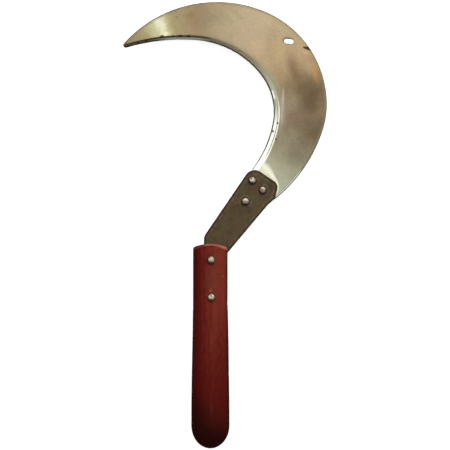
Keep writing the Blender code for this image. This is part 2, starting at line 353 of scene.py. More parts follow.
def stacked(outlines):
    """Rings of points for outlines of (points in the plane, height)."""
    return [[place(x, y, height) for x, y in points] for points, height in outlines]


# ---- node helpers

# They add nodes to the material or world that was started last. A value for a node is a
# number, a vector, a colour or another node's output.

started = {}


def start_nodes(owner):
    owner.use_nodes = True
    started["tree"] = owner.node_tree


def start_material(name):
    started["material"] = bpy.data.materials.new(name)
    start_nodes(started["material"])


def finish_material(colour, metallic, roughness, normal, specular=0.5):
    feed(started["tree"].nodes["Principled BSDF"],
         {"Base Color": colour, "Metallic": metallic, "Roughness": roughness, "Normal": normal,
          "Specular IOR Level": specular})
    return started["material"]


def screen_colour(values):
    """The linear colour, with its alpha, of screen values from 0 to 255."""
    shares = [value / 255 for value in values]
    return (*[s / 12.92 if s <= 0.04045 else ((s + 0.055) / 1.055) ** 2.4 for s in shares], 1)


def feed(node, inputs):
    """Links or sets a node's inputs, which are given by name or number."""
    for name, value in inputs.items():
        socket = node.inputs[name]
        if isinstance(value, bpy.types.NodeSocket):
            started["tree"].links.new(value, socket)
        else:
            socket.default_value = screen_colour(value) if socket.type == "RGBA" else value


def add_node(kind, inputs, **settings):
    node = started["tree"].nodes.new("ShaderNode" + kind)
    for name, value in settings.items():
        setattr(node, name, value)
    feed(node, inputs)
    return node


def arithmetic(operation, first, second=0):
    return add_node("Math", {0: first, 1: second}, operation=operation).outputs[0]


def add(first, second):
    return arithmetic("ADD", first, second)


def minus(first, second):
    return arithmetic("SUBTRACT", first, second)


def times(*values):
    result = values[0]
    for value in values[1:]:
        result = arithmetic("MULTIPLY", result, value)
    return result


def vector_step(operation, inputs, output="Vector"):
    return add_node("VectorMath", inputs, operation=operation).outputs[output]


def scaled(vector, factor):
    """A vector or a colour times a number that may vary over the surface."""
    return vector_step("SCALE", {0: vector, "Scale": factor})


def flat_length(vector):
    """The length of a vector's part in the plane of the blade."""
    flat = vector_step("MULTIPLY", {0: vector, 1: (1, 1, 0)})
    return vector_step("LENGTH", {0: flat}, "Value")


def coordinates(vector):
    return add_node("SeparateXYZ", {0: vector}).outputs


def mapped(vector, scale, turn=0, shift=(0, 0, 0), kind="POINT"):
    """A vector stretched, turned about Z in degrees and shifted."""
    inputs = {"Vector": vector, "Location": shift, "Rotation": (0, 0, radians(turn)), "Scale": scale}
    return add_node("Mapping", inputs, vector_type=kind).outputs[0]


def own_point(scale=(1, 1, 1), turn=0):
    """The object's own coordinates, stretched and turned for a pattern."""
    return mapped(add_node("TexCoord", {}).outputs["Object"], scale, turn)


def attribute(name):
    return add_node("Attribute", {}, attribute_name=name).outputs["Fac"]


def noise_of(vector, scale, detail=4, roughness=0.55, distortion=0):
    inputs = {"Vector": vector, "Scale": scale, "Detail": detail, "Roughness": roughness,
              "Distortion": distortion}
    return add_node("TexNoise", inputs).outputs["Fac"]


def spread(value, low, high, start=0, end=1, kind="SMOOTHSTEP"):
    """Maps low..high of a value onto start..end, held at both ends."""
    inputs = {"Value": value, "From Min": low, "From Max": high, "To Min": start, "To Max": end}
    return add_node("MapRange", inputs, interpolation_type=kind).outputs["Result"]


def band(value, low, high, soft):
    """1 between low and high and 0 outside, with soft sides."""
    rise = spread(value, low - soft, low + soft)
    return times(rise, spread(value, high - soft, high + soft, 1, 0))


def layers(colour, *coats):
    """Lays coats of (share, colour) over a colour, one after another."""
    for share, coat in coats:
        colour = add_node("Mix", {0: share, 6: colour, 7: coat}, data_type="RGBA").outputs[2]
    return colour


def two_tone(value, low, high, first, second):
    """One colour below low and another above high of a value."""
    return layers(first, (spread(value, low, high), second))


def clouds(vector, detail, roughness, *table):
    """Coats of noise, from rows of (scale, low, high, strength, tint)."""
    return [(spread(noise_of(vector, scale, detail, roughness), low, high, 0, strength), tint)
            for scale, low, high, strength, tint in table]


def bump(height, strength, distance, **normal):
    inputs = {"Height": height, "Strength": strength, "Distance": distance, **normal}
    return add_node("Bump", inputs).outputs["Normal"]


def oval(centre, size, tilt, wander, core):
    """1 in the middle of an oval of the plane outlines, fading to 0 at its rim."""
    point = own_point()
    if wander:
        cloud = add_node("TexNoise", {"Vector": point, "Scale": 0.8 / max(size)}).outputs["Color"]
        drift = vector_step("SUBTRACT", {0: cloud, 1: (0.5, 0.5, 0.5)})
        point = vector_step("ADD", {0: point, 1: scaled(drift, wander)})
    inside = mapped(point, (*size, 1), tilt, place(*centre, 0), "TEXTURE")
    return spread(flat_length(inside), core, 1, 1, 0)


def ovals(table, side=1):
    """Coats in ovals, from a table of marks in millimetres."""
    coats = []
    for x, y, across, along, tilt, wander, core, strength, tint in table:
        mask = oval((x * MM, y * MM), (across * MM, along * MM), tilt, wander * MM, core)
        coats.append((times(mask, side, strength), tint))
    return coats


def front_side(low, high):
    """0 below the height low, 1 above high: keeps a mark off the back."""
    return spread(coordinates(own_point())["Z"], low, high)


# ---- materials

# Tarnish and painted reflections of a room round the crescent, with a painted highlight near the tip
# at about 120: degrees about its middle (0 is +X, 90 is +Y) and a colour
BLADE_MIDDLE = (-0.004, 0.2516)
TARNISH_AND_REFLECTION_BANDS = (
    (-52, (190, 192, 168)), (-42, (180, 180, 154)), (-36, (164, 161, 134)), (-29, (147, 142, 118)),
    (-19, (147, 138, 115)), (-8, (147, 133, 108)), (3, (149, 135, 109)), (12, (142, 125, 95)),
    (21, (160, 137, 104)), (29, (178, 153, 118)), (46, (183, 162, 129)), (60, (183, 164, 134)),
    (74, (175, 158, 127)), (87, (158, 140, 111)), (99, (152, 131, 100)), (107, (161, 145, 110)),
    (113, (169, 158, 118)), (117, (203, 198, 160)), (119.5, (238, 236, 204)), (123, (208, 203, 164)),
    (129, (178, 166, 126)), (138, (150, 133, 100)),
)
BAND_START = -60
BAND_END = 150
RUST = (66, 46, 28)
# Painted shadow round the rivet heads
RIVET_SHADOW = (22, 15, 8)

# Marks in ovals, in millimetres: middle (x, y), half size (x, y), tilt, wander, core,
# strength and colour
# On the face: the first six, dark patches on the right, are a painted reflection of a dark room, and
# the pale patch at (-29, 308.5) beside the tip is a painted highlight; the others are tarnish and
# marks
FACE_TARNISH_AND_REFLECTIONS = (
    (62.2, 277.8, 7, 19, 20, 5, 0, 0.62, (116, 90, 68)),
    (73.5, 256.7, 13, 19, 12, 8, 0.1, 0.42, (84, 62, 40)),
    (62.5, 241.5, 13, 10, 0, 8, 0.1, 0.55, (126, 102, 88)),
    (54.6, 233.2, 6, 8, 0, 4, 0.1, 0.35, (116, 106, 84)),
    (62, 214.9, 11, 11, 0, 6, 0.1, 0.35, (110, 100, 80)),
    (65.6, 262.6, 7, 9, 0, 4, 0.1, 0.35, (104, 84, 50)),
    (76.4, 275.5, 4.2, 12, 16, 3, 0, 0.6, (196, 146, 92)),
    (71.5, 280, 4, 10, 14, 4, 0, 0.45, (176, 158, 122)),
    (33, 293, 10, 8, 0, 6, 0.1, 0.4, (206, 172, 142)),
    (49, 291, 7, 12, 10, 6, 0.1, 0.4, (190, 170, 112)),
    (-62.7, 295.6, 3.4, 3, 0, 1, 0.4, 0.85, (80, 80, 62)),
    (-24.8, 316, 2.2, 1.8, 0, 2, 0.1, 0.45, (108, 98, 58)),
    (-13.8, 318, 5.2, 5, 0, 5, 0.1, 0.42, (134, 118, 76)),
    (-29, 308.5, 5, 8, 20, 4, 0.1, 0.3, (190, 180, 128)),
    (57.1, 298.8, 5.4, 3.5, -6, 1.2, 0.6, 0.7, (104, 94, 70)),
    (70, 290.2, 2.6, 1.5, -20, 1, 0.2, 0.35, (226, 190, 166)),
    (52.8, 250.5, 1.3, 18, -3.2, 1, 0.4, 0.7, (208, 194, 174)),
)
RUST_SPOTS = (
    (-35.6, 302.1, 2.2, 1.2, 10), (-22.2, 302.5, 2.8, 1.1, 5), (-16, 302.3, 1.8, 1.3, 0),
    (-27, 302.4, 1.2, 0.7, 0), (-47, 299, 1.4, 0.7, 20), (-53, 297.2, 1, 0.8, 20),
    (-51.2, 311, 1, 0.6, 35), (-40.5, 318.5, 1.2, 0.6, 30), (49.2, 238.4, 1, 1.3, 10),
    (45.9, 232.5, 1.2, 1.1, 0), (48, 226.7, 0.9, 1, 0),
)
RUST_MARKS = tuple((*spot, 0.8, 0.45, 0.9, RUST) for spot in RUST_SPOTS)

# Streaks beside the inner edge: where across it (in bevel widths) and where along it, each
# from, to and softness, then strength and colour
# Beside the bevel: grey streaks, and along its crease a painted highlight (the third row)
FACE_STREAKS_AND_HIGHLIGHT = (
    ((0.9, 1.90, 0.45), (0.105, 0.15, 0.01), 0.6, (160, 158, 132)),
    ((0.8, 1.60, 0.3), (0.06, 0.108, 0.01), 0.35, (150, 142, 116)),
    ((0.9, 1.04, 0.04), (0.134, 0.168, 0.006), 0.7, (238, 235, 212)),
)
# On the bevel: the four white streaks are painted reflections of the bright side; the others are dark
# and pale streaks along the edge
BEVEL_STREAKS_AND_REFLECTIONS = (
    ((0.25, 0.68, 0.03), (0.142, 0.22, 0.009), 0.97, (255, 255, 246)),
    ((0.1, 0.97, 0.05), (0.168, 0.22, 0.005), 0.9, (255, 255, 244)),
    ((0.32, 0.58, 0.05), (0.1235, 0.1295, 0.0015), 1.00, (255, 255, 248)),
    ((0.82, 1.02, 0.04), (0.134, 0.176, 0.006), 0.85, (252, 250, 232)),
    ((0.69, 0.79, 0.03), (0.134, 0.172, 0.004), 0.8, (98, 95, 74)),
    ((0.62, 1.30, 0.15), (-0.02, 0.064, 0.005), 0.85, (84, 70, 50)),
    ((0.12, 0.52, 0.08), (0.028, 0.062, 0.006), 0.95, (240, 236, 226)),
    ((-1, 2, 0.1), (-0.02, 0.022, 0.007), 0.7, (104, 86, 64)),
)

# Rusty and dark patches of the shank's mill scale
SCALE_MARKS = (
    (34.5, 193, 5, 6, -30, 5, 0.1, 0.45, (66, 40, 30)),
    (40, 185, 5, 5, 0, 4, 0.1, 0.4, (74, 42, 34)),
    (30, 201, 4, 3, 0, 4, 0.1, 0.35, (52, 40, 26)),
    (22.5, 174, 6, 5, 40, 5, 0.1, 0.3, (62, 44, 32)),
    (44, 193.5, 3.5, 5, 0, 3, 0.1, 0.35, (48, 38, 26)),
)

# The handle's faint streaks down its middle, which are a painted highlight, its brown patch and speck
WOOD_MARKS_AND_HIGHLIGHT = (
    (1, 123, 7, 23, 0, 4, 0, 0.4, (104, 60, 45)),
    (0.7, 79, 1.1, 17, 0, 2, 0.1, 0.26, (134, 74, 58)),
    (0.6, 31.5, 0.8, 9, 0, 1, 0.1, 0.22, (120, 58, 46)),
    (1.8, 143.8, 4.4, 4, 0, 3, 0, 0.6, (84, 50, 34)),
    (2, 132, 1.6, 4, 0, 1, 0.1, 0.6, (88, 56, 38)),
    (9.2, 126.2, 0.7, 0.6, 0, 0.6, 0.3, 0.6, (176, 118, 100)),
    (-3.5, 69, 0.8, 3, 0, 1, 0.2, 0.4, (96, 30, 44)),
    (5.3, 128.1, 3, 0.5, -8, 0.8, 0.2, 0.55, (64, 18, 12)),
    (0.4, 115.8, 1.8, 2.2, 0, 1, 0.1, 0.55, (150, 84, 72)),
    (-6.8, 145.5, 3, 1.2, 20, 1, 0.1, 0.5, (104, 20, 44)),
    (-2.6, 133, 1.2, 5, 0, 1, 0.1, 0.4, (112, 28, 40)),
    (-2.8, 125, 1.4, 4.2, 0, 1, 0.1, 0.45, (118, 32, 48)),
    (-8.5, 139, 1.4, 9, 0, 1, 0.1, 0.35, (112, 18, 16)),
)


def streaks(table):
    """Coats in streaks beside the blade's inner edge."""
    share, along = attribute("bevel_share"), attribute("along_edge")
    return [(times(band(share, *across_band), band(along, *along_band), strength), tint)
            for across_band, along_band, strength, tint in table]


def rivet_shadow_marks(spots, reach):
    """Painted shadow round rivet heads, heavier towards the butt, the side it falls on."""
    return tuple((x / MM - 0.3, y / MM - 1.2, reach, reach, 0, 0.8, 0.45, 0.88, RIVET_SHADOW)
                 for x, y in spots)


def tarnish_and_reflection_colour():
    """Tarnish and painted reflections of the sheet, with a painted highlight near the tip, in soft
    bands round the crescent.
    """
    point = own_point()
    centred = vector_step("SUBTRACT", {0: point, 1: place(*BLADE_MIDDLE, 0)})
    parts = coordinates(centred)
    angle = arithmetic("ARCTAN2", parts["Y"], parts["X"])
    for scale, push in ((38, 0.16), (190, 0.08), (430, 0.05)):
        angle = add(angle, times(minus(noise_of(point, scale, 3), 0.5), push))
    share = spread(angle, radians(BAND_START), radians(BAND_END), kind="LINEAR")
    ramp = add_node("ValToRGB", {"Fac": share})
    ramp.color_ramp.interpolation = "CARDINAL"
    stops = ramp.color_ramp.elements
    for number, (bearing, colour) in enumerate(TARNISH_AND_REFLECTION_BANDS):
        position = (bearing - BAND_START) / (BAND_END - BAND_START)
        stop = stops[number] if number < 2 else stops.new(position)
        stop.position = position
        stop.color = screen_colour(colour)
    # Painted reflection of a dark room: darker outwards on the right
    outward = spread(flat_length(centred), 0.058, 0.082)
    right_side = band(angle, radians(-24), radians(13), 0.16)
    return layers(ramp.outputs["Color"], (times(outward, right_side, 0.8), (104, 86, 63)))


def blade_material():
    start_material("sheet_tarnish_and_reflections")
    point = own_point()
    outer = attribute("from_outer_edge")
    # A painted highlight: a cream glow on the sheet round the shank's head, dimmer close to it
    front = front_side(blade_low.z + 0.0005, blade_low.z + 0.001)
    near = arithmetic("DIVIDE", attribute("from_shank"), spread(outer, 0.005, 0.024, 0.0014, 0.0088))
    painted_glow = times(spread(near, 0.6, 1.05, 1, 0), front)
    dimmer_glow = times(spread(near, 0.15, 0.55, 0.45, 0), front)
    # At the outer edge a grey rim, a dark line, and near the root a pale line that is a painted
    # highlight
    uneven = spread(noise_of(point, 260, 3), 0.3, 0.7, 0.0003, 0.0011)
    dark_edge_line = spread(outer, 0.0004, add(uneven, 0.0006), 0.8, 0)
    pale = times(band(outer, 0.0007, 0.0014, 0.0003),
                 oval((0.0572, 0.1945), (0.015, 0.007), 50, 0, 0.6), 0.75)
    colour = layers(
        tarnish_and_reflection_colour(),
        *clouds(point, 3, 0.55, (60, 0.45, 0.75, 0.2, (186, 156, 130))),
        *clouds(own_point(turn=50), 3, 0.55, (75, 0.45, 0.75, 0.2, (172, 160, 112))),
        *ovals(FACE_TARNISH_AND_REFLECTIONS), (painted_glow, (255, 255, 228)), (dimmer_glow, (222, 204, 172)),
        *streaks(FACE_STREAKS_AND_HIGHLIGHT), (spread(outer, 0.0008, 0.003, 0.5, 0), (142, 136, 114)),
        (dark_edge_line, (98, 90, 70)), (pale, (236, 240, 226)))
    # Fine grain, freckles and rust spots
    fine = spread(noise_of(point, 520, 6, 0.7), 0.3, 0.7, 0.93, 1.06)
    colour = layers(
        scaled(colour, fine), *clouds(point, 2, 0.5, (640, 0.7, 0.76, 0.35, (110, 88, 60))),
        *ovals(RUST_MARKS))
    smears = noise_of(point, 60, 5, 0.6, 0.8)
    first = noise_of(own_point((1, 0.05, 1), 35), 2600, 2)
    second = noise_of(own_point((0.04, 1, 1), -20), 2200, 2)
    scratches = bump(add(first, second), 0.1, 0.0001)
    return finish_material(colour, 1, spread(smears, 0.3, 0.7, 0.26, 0.4),
                           bump(smears, 0.15, 0.0006, Normal=scratches))


def edge_noise(across, along):
    """Noise that is stretched along the inner edge, by its scales across and along it."""
    inputs = {0: times(attribute("from_inner_edge"), across), 1: times(attribute("along_edge"), along)}
    return noise_of(add_node("CombineXYZ", inputs).outputs[0], 1, 3)


def ground_material():
    start_material("ground_steel")
    along = attribute("along_edge")
    # Grinding lines run along the edge, painted brighter towards the root, a painted reflection of the
    # bright side
    lines = edge_noise(3000, 40)
    dull = two_tone(lines, 0.35, 0.65, (190, 176, 146), (160, 146, 118))
    bright = two_tone(lines, 0.35, 0.65, (196, 198, 170), (158, 160, 132))
    broken = spread(edge_noise(1900, 330), 0.58, 0.66, 0, 0.5)
    # A dark line at the very edge, thin beside the honed strip near the tip
    width = spread(along, 0.12, 0.16, 0.0012, 0.00085)
    share = arithmetic("DIVIDE", attribute("from_inner_edge"), width)
    strip_gap = times(band(along, 0.03, 0.06, 0.006), 0.75)
    dark_edge_line = times(spread(share, 0.75, 1.05, 0.93, 0), minus(1, strip_gap))
    colour = layers(
        two_tone(along, 0.095, 0.124, dull, bright), *streaks(BEVEL_STREAKS_AND_REFLECTIONS),
        (broken, (150, 148, 122)), (dark_edge_line, (72, 64, 46)),
        *clouds(own_point(), 3, 0.6, (620, 0.68, 0.73, 0.7, (110, 92, 66))), *ovals(RUST_MARKS))
    rough = add(spread(lines, 0.3, 0.7, 0.22, 0.36), times(dark_edge_line, 0.2))
    return finish_material(colour, 1, rough, bump(lines, 0.2, 0.0002))


def dull_metal(name, scale, metallic, first, second):
    """Rough steel whose two tones are mixed by noise."""
    start_material(name)
    point = own_point()
    colour = two_tone(noise_of(point, scale), 0.3, 0.7, first, second)
    return finish_material(colour, metallic, 0.5, bump(noise_of(point, 1500), 0.4, 0.0002))


def shank_material():
    start_material("mill_scale")
    point = own_point()
    patches = noise_of(point, 95, 5, 0.6, 0.6)
    # Olive and near-black clouds, then pale flecks
    flecks = clouds(
        point, 5, 0.62, (110, 0.48, 0.64, 0.7, (76, 71, 42)), (200, 0.48, 0.68, 0.45, (56, 43, 28)),
        (420, 0.5, 0.72, 0.3, (52, 42, 28)), (700, 0.58, 0.74, 0.4, (130, 118, 90)))
    # A painted highlight: a pale line inside the dark edge
    edge = attribute("from_outline")
    unevenness = spread(noise_of(point, 300, 3), 0.4, 0.65)
    edge_highlight = times(band(edge, 0.0018, 0.0027, 0.0005), unevenness, 0.45)
    rim = times(spread(edge, 0.0004, 0.002, 0.9, 0), spread(unevenness, 0, 1, 1, 0.6))
    # Over the mill scale: the painted highlight, the dark edge, dark patches and painted shadow round
    # the rivet heads
    colour = layers(
        two_tone(patches, 0.35, 0.62, (80, 70, 44), (86, 64, 44)), *flecks, (edge_highlight, (130, 114, 88)),
        (rim, (24, 19, 11)), *ovals(SCALE_MARKS + rivet_shadow_marks(BLADE_RIVETS, 4)))
    pits = noise_of(point, 1100, 4, 0.65)
    return finish_material(colour, 0.15, spread(patches, 0.3, 0.7, 0.5, 0.72),
                           bump(pits, 0.35, 0.0003), 0.2)


def rivet_material():
    start_material("hammered_rivet")
    point = own_point()
    colour = two_tone(noise_of(point, 900), 0.35, 0.65, (232, 218, 198), (158, 140, 120))
    # Painted shade: darker towards the head's rim and on its side towards the butt
    head_shade = times(spread(attribute("skirt"), 0.1, 0.9), 0.9)
    colour = layers(
        colour, *clouds(point, 2, 0.55, (330, 0.46, 0.6, 0.75, (116, 100, 78))),
        (head_shade, (54, 42, 32)))
    return finish_material(colour, 0.9, 0.42, bump(noise_of(point, 1300, 2), 0.4, 0.0003))


def growth_rings():
    """The rings of the tree that the turning has cut across."""
    off_pith = mapped(own_point(), (1, 0.04, 1), 0, (-AXIS.x + 0.022, 0, -AXIS.z + 0.009))
    inputs = {"Vector": off_pith, "Scale": 90, "Distortion": 2.5, "Detail": 3, "Detail Scale": 1.6}
    return add_node("TexWave", inputs, wave_type="RINGS", rings_direction="Y").outputs["Fac"]


def wood_material():
    start_material("stained_wood")
    point = own_point()
    rings = growth_rings()
    fibres = noise_of(own_point((1, 0.03, 1)), 1700, 4, 0.6)
    across = attribute("across_grip")
    length = minus(coordinates(point)["Y"], AXIS.y)
    # Painted light: lighter on the right, most of all towards the top
    right = times(spread(across, -0.2, 0.8), spread(length, 0.06, 0.13, 0.1, 0.6))
    # Painted shade: darker on the left, at the sides and towards the butt, which is nearly black, most
    # of all on its left
    butt_shade = add(length, times(across, 0.011))
    sides = spread(arithmetic("ABSOLUTE", across), 0.8, 1, 0, 0.65)
    # The crown is pale inside its lip, mostly on the right: rubbed stain and a painted highlight of
    # the lip
    below = minus(minus(HANDLE_LENGTH, length), times(across, across, CROWN_FALL))
    wear = spread(noise_of(point, 420, 3), 0.3, 0.55, 0.55, 1)
    crown = times(band(below, -0.003, 0.0013, 0.0004), wear, spread(across, -0.47, -0.23, 0.15, 0.8))
    # Over the grain and clouds: painted light and shade, fibres, the marks with their painted
    # highlight, painted shadow round the rivets and the pale crown
    colour = layers(
        two_tone(rings, 0.1, 0.9, (105, 33, 22), (114, 42, 29)),
        *clouds(own_point((1, 0.4, 1)), 4, 0.55, (70, 0.42, 0.7, 0.6, (106, 24, 18)),
                (190, 0.42, 0.7, 0.4, (88, 20, 16)), (420, 0.42, 0.7, 0.3, (138, 62, 46))),
        (right, (137, 59, 45)), (spread(across, -1, 0.15, 0.8, 0), (78, 4, 2)),
        (spread(length, 0.035, 0.115, 0.7, 0), (76, 2, 2)),
        (spread(butt_shade, 0.008, 0.048, 0.94, 0), (32, 5, 1)),
        (sides, (34, 8, 12)), (spread(fibres, 0.54, 0.7, 0, 0.5), (54, 12, 10)),
        *ovals(WOOD_MARKS_AND_HIGHLIGHT, front_side(AXIS.z, AXIS.z + 0.004)),
        *ovals(rivet_shadow_marks(HANDLE_RIVETS, 3.9)), (crown, (186, 128, 114)))
    relief = add(times(fibres, 0.8), times(rings, 0.25))
    return finish_material(colour, 0, spread(rings, 0.1, 0.9, 0.46, 0.58),
                           bump(relief, 0.35, 0.0004), 0.04)


def sawn_wood_material():
    """Bare wood inside the kerf and the bores, with the saw's marks across it."""
    start_material("sawn_wood")
    fibres = noise_of(own_point((1, 0.05, 1)), 1500, 4, 0.6)
    colour = two_tone(fibres, 0.35, 0.65, (112, 66, 44), (78, 40, 27))
    saw = noise_of(own_point((0.06, 1, 1), 12), 1500, 2)
    return finish_material(colour, 0, 0.85, bump(add(saw, fibres), 0.5, 0.0003), 0.2)


# ---- blade

def blade_sides():
    """Outer and inner edge from the tip's middle to the root, and their root stretches."""
    outer, heading = walk_arcs(OUTER_START, OUTER_HEADING, OUTER_ARCS + (HALF_TIP,))
    inner, _ = walk_arcs(outer[-1], heading, (HALF_TIP,) + INNER_ARCS)
    right = [outer[0]] + round_corners(ROOT_RIGHT, outer[0], ROOT_LEFT[-1])
    left = [inner[-1]] + round_corners(ROOT_LEFT, inner[-1], ROOT_RIGHT[-1])
    return outer[::-1], inner, right, left


def bevel_width(share):
    """The bevel's width at a share of the inner edge's length."""
    return BEVEL_AT_TIP + (BEVEL_AT_ROOT - BEVEL_AT_TIP) * share


def facet_ends(width):
    """Where the honed edge and the first facet of a bevel end."""
    return min(HONED_WIDTH, width * 0.3), width * FIRST_FACET_SHARE


def face_height(across, width, ground):
    """Height of the blade's face above its back, at a distance from the inner edge."""
    low = EDGE_THICKNESS + (THICKNESS - EDGE_THICKNESS) * (1 - ground)
    honed, first = facet_ends(width)
    corners = ((0, 0), (honed, HONED_RISE), (first, FIRST_FACET_RISE), (width, 1))
    for (start, level), (end, next_level) in zip(corners, corners[1:]):
        if across <= end:
            share = level + (next_level - level) * (across - start) / (end - start)
            return low + (THICKNESS - low) * share
    return THICKNESS


def section_columns(width, face_end):
    """Distances of the section's points from the inner edge, over the bevel and the face."""
    honed, first = facet_ends(width)
    crease = min(CREASE, width * 0.02)
    columns = [0, honed * 0.5, honed - crease, honed + crease]
    columns += [honed + (first - honed) * step / 4 for step in (1, 2, 3)]
    columns += [first - crease, first + crease]
    columns += [first + (width - first) * step / 3 for step in (1, 2)]
    columns += [width - crease, width + crease]
    start = columns[-1]
    return columns + even(start, face_end, FACE_COLUMNS)[1:] + [face_end]


def blade_section(inner, outer, slant, width, ground_share):
    """One closed section of the blade as points (place in the plane, height above its back)."""
    reach = (outer - inner).length
    across = (outer - inner).normalized()
    width = min(width / max(slant, 0.4), reach * 0.6)
    rim, under = min(RIM, reach * 0.15), min(UNDER_RIM, reach * 0.1)
    ring = [(distance, face_height(distance, width, ground_share))
            for distance in section_columns(width, reach - rim)]
    angles = even(0, pi / 2, ROUND_STEPS) + [pi / 2]
    ring += [(reach - rim + rim * sin(angle), THICKNESS - rim * (1 - cos(angle)))
             for angle in angles[1:]]
    ring += [(reach - under + under * cos(angle), under * (1 - sin(angle))) for angle in angles]
    ring += [(distance, 0) for distance in even(reach - under, 0, BACK_COLUMNS)[1:]]
    ring += [(min(EDGE_CHAMFER, reach * 0.05), 0), (0, EDGE_THICKNESS * 0.4)]
    return [(inner + across * distance, height) for distance, height in ring]


def section_slots():
    """Material slot of the stretch after each point: 0 face, 1 ground bevel, 2 rim."""
    return ([1] * 12 + [0] * FACE_COLUMNS + [2] * (2 * ROUND_STEPS + 1)
            + [0] * (BACK_COLUMNS - 1) + [2] * 3)


def sheet_bend(point):
    """How far the hammered sheet stands out of flat at a point of its plane."""
    clear = ease((dist(point, CALM_MIDDLE) - CALM_RADIUS) / CALM_FADE)
    long_wave = ripple((*point, 0), 0.050, 3) * 0.00022
    short_wave = ripple((*point, 0), 0.016, 8) * 0.00005
    return clear * (long_wave + short_wave)


def edge_wear(length):
    """Small losses along the sharpened edge."""
    uneven = abs(ripple((length, 0, 0), 0.004, 5)) * 0.00018
    chip = max(0, ripple((length, 0.3, 0), 0.0016, 11) - 0.45) * 0.0009
    return uneven + chip


def blade_stations():
    """Points at the inner and the outer edge, from the tip to the root's end, with the length
    along the inner edge at each. Also the length at which the root begins."""
    outer, inner, right, left = [(line, lengths_along(line)) for line in blade_sides()]
    whole, root = inner[1][-1], left[1][-1]
    stations = []
    for number in range(BLADE_STATIONS + 1):
        share = number / BLADE_STATIONS
        share = FIRST_STATION + (1 - FIRST_STATION) * share * (0.10 + 0.90 * share)
        stations.append((point_at(*inner, share), point_at(*outer, share), share * whole))
    for number in range(1, ROOT_STATIONS + 1):
        share = number / ROOT_STATIONS
        stations.append((point_at(*left, share), point_at(*right, share), whole + share * root))
    return stations, whole


def blade_rings():
    stations, whole = blade_stations()
    rings = []
    for number, (near, far, length) in enumerate(stations):
        before = stations[max(number - 1, 0)][0]
        after = stations[min(number + 1, len(stations) - 1)][0]
        across = (far - near).normalized()
        slant = abs((after - before).normalized().cross(across))
        width = bevel_width(min(length / whole, 1))
        ground_share = min(1, max(0, (whole - length) / BEVEL_RUNOUT))
        wear = edge_wear(length) * min(1, (far - near).length / 0.01)
        rings.append(blade_section(near + across * (OUTLINE_INSET + wear),
                                   far - across * OUTLINE_INSET, slant, width, ground_share))
    return rings


def line_finder(points):
    """A function that gives a place's distance to a line, and the length along it there."""
    dense = dense_line(points, 0.0002)
    tree = search_tree([point for point, _ in dense])

    def find(x, y):
        _, number, distance = tree.find((x, y, 0))
        return distance, dense[number][1]
    return find


def mark_distances(mesh):
    """Writes how far each point is from the blade's edges and the shank, for the materials."""
    outer, inner, _, _ = blade_sides()
    shank = shank_outline()
    to_inner, to_outer = line_finder(inner), line_finder(outer)
    to_shank = line_finder(shank + shank[:1])
    whole = lengths_along(inner)[-1]
    names = ("from_inner_edge", "from_outer_edge", "from_shank", "along_edge", "bevel_share")
    rows = []
    for vertex in mesh.vertices:
        x, y = vertex.co.x - AXIS.x, vertex.co.y - AXIS.y
        distance, along = to_inner(x, y)
        rows.append((distance, to_outer(x, y)[0], to_shank(x, y)[0], along,
                     distance / bevel_width(along / whole)))
    for name, values in zip(names, zip(*rows)):
        write_attribute(mesh, name, values)


def hole_cutter(material):
    """An oblong punch that also breaks both rims of the hanging hole."""
    flare = HOLE_FLARE
    levels = ((blade_low.z - 0.001, 0.001 + flare), (blade_low.z + flare, 0),
              (blade_high.z - flare, 0), (blade_high.z + 0.001, 0.001 + flare))
    rings = stacked((oblong_points(HOLE_CENTRE, HOLE_LENGTH + 2 * grow, HOLE_WIDTH + 2 * grow,
                                   HOLE_TILT), height) for height, grow in levels)
    return piece_from("hole_cutter", skin_rings(rings), material)


def nick_cutter(material):
    """A small wedge that gouges the outer edge near the hanging hole."""
    top = blade_high.z + 0.0002
    rings = []
    for middle, half, share in NICK_SECTIONS:
        low = top - NICK_DEPTH * share
        rings.append([place(*(Vector(middle) + NICK_ACROSS * half * side), height)
                      for side, height in ((-1, top), (-0.5, low), (0.5, low), (1, top))])
    return piece_from("nick_cutter", skin_rings(rings), material)


def make_blade(face, ground, edge, cut):
    rings = [[place(*spot, blade_low.z + height + sheet_bend(spot)) for spot, height in section]
             for section in blade_rings()]
    blade = piece_from("blade_steel_sheet", skin_rings(rings, section_slots()), face, ground, edge)
    cut_away(blade, hole_cutter(cut))
    cut_away(blade, nick_cutter(cut))
    mark_distances(blade.data)
    finish_piece(blade, "blade", 28)


# ---- shank

def shank_blank(outlines):
    """The square-edged plate with its bores, before its edges are rounded."""
    curve = bpy.data.curves.new("shank_outline", "CURVE")
    curve.dimensions = "2D"
    curve.fill_mode = "BOTH"
    curve.extrude = SHANK_HALF
    for outline in outlines:
        spline = curve.splines.new("POLY")
        spline.points.add(len(outline) - 1)
        for point, (x, y) in zip(spline.points, outline):
            point.co = (x, y, 0, 1)
        spline.use_cyclic_u = True
    drawn = add_object("shank_outline", curve)
    shape = bmesh.new()
    shape.from_mesh(evaluated_mesh(drawn))
    bpy.data.objects.remove(drawn, do_unlink=True)
    bmesh.ops.remove_doubles(shape, verts=shape.verts, dist=0.000004)
    return shape


def outline_finder(outlines):
    """A function that gives a place's nearest point of the outlines, the way into the steel
    there and how far in the place is. The steel lies to the right of every outline."""
    samples = []
    for outline in outlines:
        dense = [point for point, _ in dense_line(outline + outline[:1], 0.0001)][:-1]
        for number, point in enumerate(dense):
            ahead = (dense[(number + 1) % len(dense)] - dense[number - 1]).normalized()
            samples.append((point, Vector((ahead.y, -ahead.x))))
    tree = search_tree([point for point, _ in samples])

    def find(x, y):
        point, normal = samples[tree.find((x, y, 0))[1]]
        return point, normal, (Vector((x, y)) - point).dot(normal)
    return find


